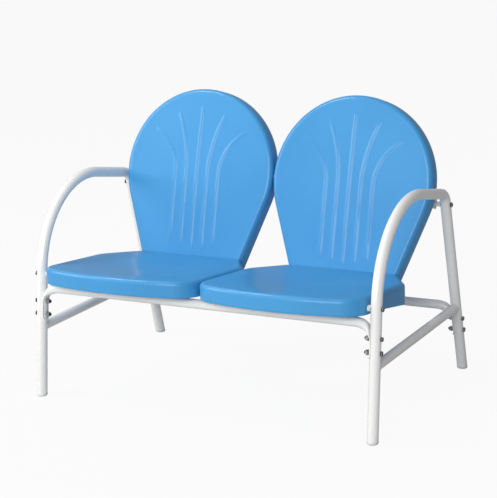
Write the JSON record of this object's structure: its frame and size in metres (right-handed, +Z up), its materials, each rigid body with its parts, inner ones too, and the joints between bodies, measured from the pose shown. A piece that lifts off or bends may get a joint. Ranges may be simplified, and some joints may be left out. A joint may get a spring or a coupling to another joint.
{
  "type": "two-seat metal garden loveseat",
  "caption": "Two-seat outdoor loveseat with pressed steel shell seats and fluted round backs between two bent tube arm frames joined by cross rails.",
  "frame": {"origin": "on the floor, below the middle of the whole bench", "axes": "+X runs along the bench towards the right-hand seat as seen from the front, -Y is the front, +Z is up"},
  "size_m": [1.1426, 0.785, 0.868],
  "materials": {
    "tube_enamel": "glossy off-white powder coat on steel tube",
    "shell_enamel": "satin to semi-gloss sky blue powder coat on pressed steel",
    "bracket_enamel": "off-white powder coat on steel strip",
    "foot_plastic": "off-white moulded plastic",
    "spacer_nylon": "white nylon",
    "black_zinc": "black zinc plated steel",
    "bright_zinc": "bright zinc plated steel"
  },
  "bodies": {
    "root": {"left_arm_frame": "tube_enamel", "right_arm_frame": "tube_enamel", "left_side_stretcher": "tube_enamel", "right_side_stretcher": "tube_enamel", "front_rail": "tube_enamel", "rear_rail": "tube_enamel", "left_seat_shell": "shell_enamel", "right_seat_shell": "shell_enamel", "left_back_shell": "shell_enamel", "right_back_shell": "shell_enamel", "left_back_bracket": "bracket_enamel", "right_back_bracket": "bracket_enamel", "left_seat_outer_clip": "bracket_enamel", "left_seat_inner_clip": "bracket_enamel", "right_seat_inner_clip": "bracket_enamel", "right_seat_outer_clip": "bracket_enamel", "left_front_foot": "foot_plastic", "right_front_foot": "foot_plastic", "left_rear_foot": "foot_plastic", "right_rear_foot": "foot_plastic", "seat_side_spacers": "spacer_nylon", "back_side_spacers": "spacer_nylon", "seat_joint_spacers": "spacer_nylon", "back_joint_spacers": "spacer_nylon", "front_rail_bolts": "black_zinc", "rear_rail_bolts": "black_zinc", "seat_side_bolts": "black_zinc", "back_side_bolts": "black_zinc", "seat_joint_bolts": "black_zinc", "back_joint_bolts": "black_zinc", "seat_back_bolts": "black_zinc", "seat_clip_screws": "black_zinc", "front_rail_washers": "bright_zinc", "rear_rail_washers": "bright_zinc", "seat_side_washers": "bright_zinc", "back_side_washers": "bright_zinc", "seat_joint_washers": "bright_zinc", "back_joint_washers": "bright_zinc", "seat_back_washers": "bright_zinc", "front_rail_nuts": "bright_zinc", "rear_rail_nuts": "bright_zinc", "seat_side_nuts": "bright_zinc", "back_side_nuts": "bright_zinc", "seat_joint_nuts": "bright_zinc", "back_joint_nuts": "bright_zinc", "seat_back_nuts": "bright_zinc"}
  },
  "joints": []
}
